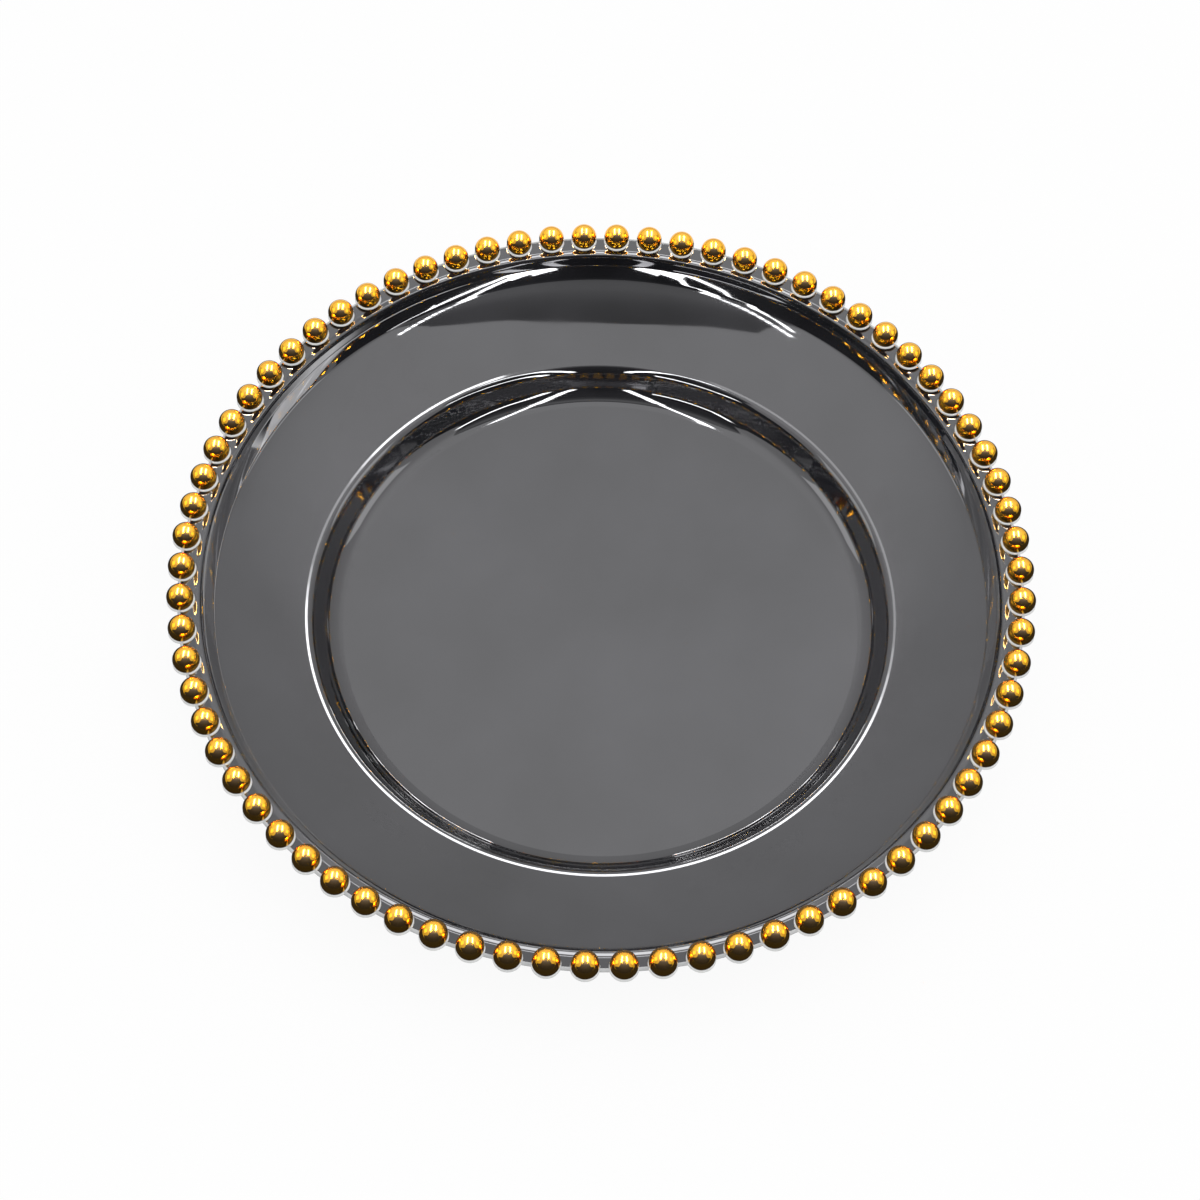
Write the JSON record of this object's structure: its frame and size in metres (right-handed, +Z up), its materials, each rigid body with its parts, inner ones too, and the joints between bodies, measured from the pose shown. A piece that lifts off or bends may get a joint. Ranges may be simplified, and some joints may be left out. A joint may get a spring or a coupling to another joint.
{
  "type": "serving platter",
  "caption": "Round glass serving platter with a flat well, a coved step, a deep flared rim and gold beads seated in clear cups along its edge. It stands on a foot ring.",
  "frame": {"origin": "on the platter's axis, in the plane that the foot ring stands on", "axes": "+Z up along the platter's axis; +X and +Y lie in the table's plane"},
  "size_m": [0.3302, 0.3304, 0.0504],
  "materials": {
    "smoke_glass": "gloss",
    "clear_glass": "gloss",
    "gold": "mirror polish"
  },
  "bodies": {
    "root": {"glass_dish": "smoke_glass", "clear_bead_rail": "clear_glass", "gold_bead_pair_01": "gold", "gold_bead_pair_02": "gold", "gold_bead_pair_03": "gold", "gold_bead_pair_04": "gold", "gold_bead_pair_05": "gold", "gold_bead_pair_06": "gold", "gold_bead_pair_07": "gold", "gold_bead_pair_08": "gold", "gold_bead_pair_09": "gold", "gold_bead_pair_10": "gold", "gold_bead_pair_11": "gold", "gold_bead_pair_12": "gold", "gold_bead_pair_13": "gold", "gold_bead_pair_14": "gold", "gold_bead_pair_15": "gold", "gold_bead_pair_16": "gold", "gold_bead_pair_17": "gold", "gold_bead_pair_18": "gold", "gold_bead_pair_19": "gold", "gold_bead_pair_20": "gold", "gold_bead_pair_21": "gold", "gold_bead_pair_22": "gold", "gold_bead_pair_23": "gold", "gold_bead_pair_24": "gold", "gold_bead_pair_25": "gold", "gold_bead_pair_26": "gold", "gold_bead_pair_27": "gold", "gold_bead_pair_28": "gold", "gold_bead_pair_29": "gold", "gold_bead_pair_30": "gold", "gold_bead_pair_31": "gold", "gold_bead_pair_32": "gold", "gold_bead_pair_33": "gold", "gold_bead_pair_34": "gold", "gold_bead_pair_35": "gold", "gold_bead_pair_36": "gold", "gold_bead_pair_37": "gold"}
  },
  "joints": []
}
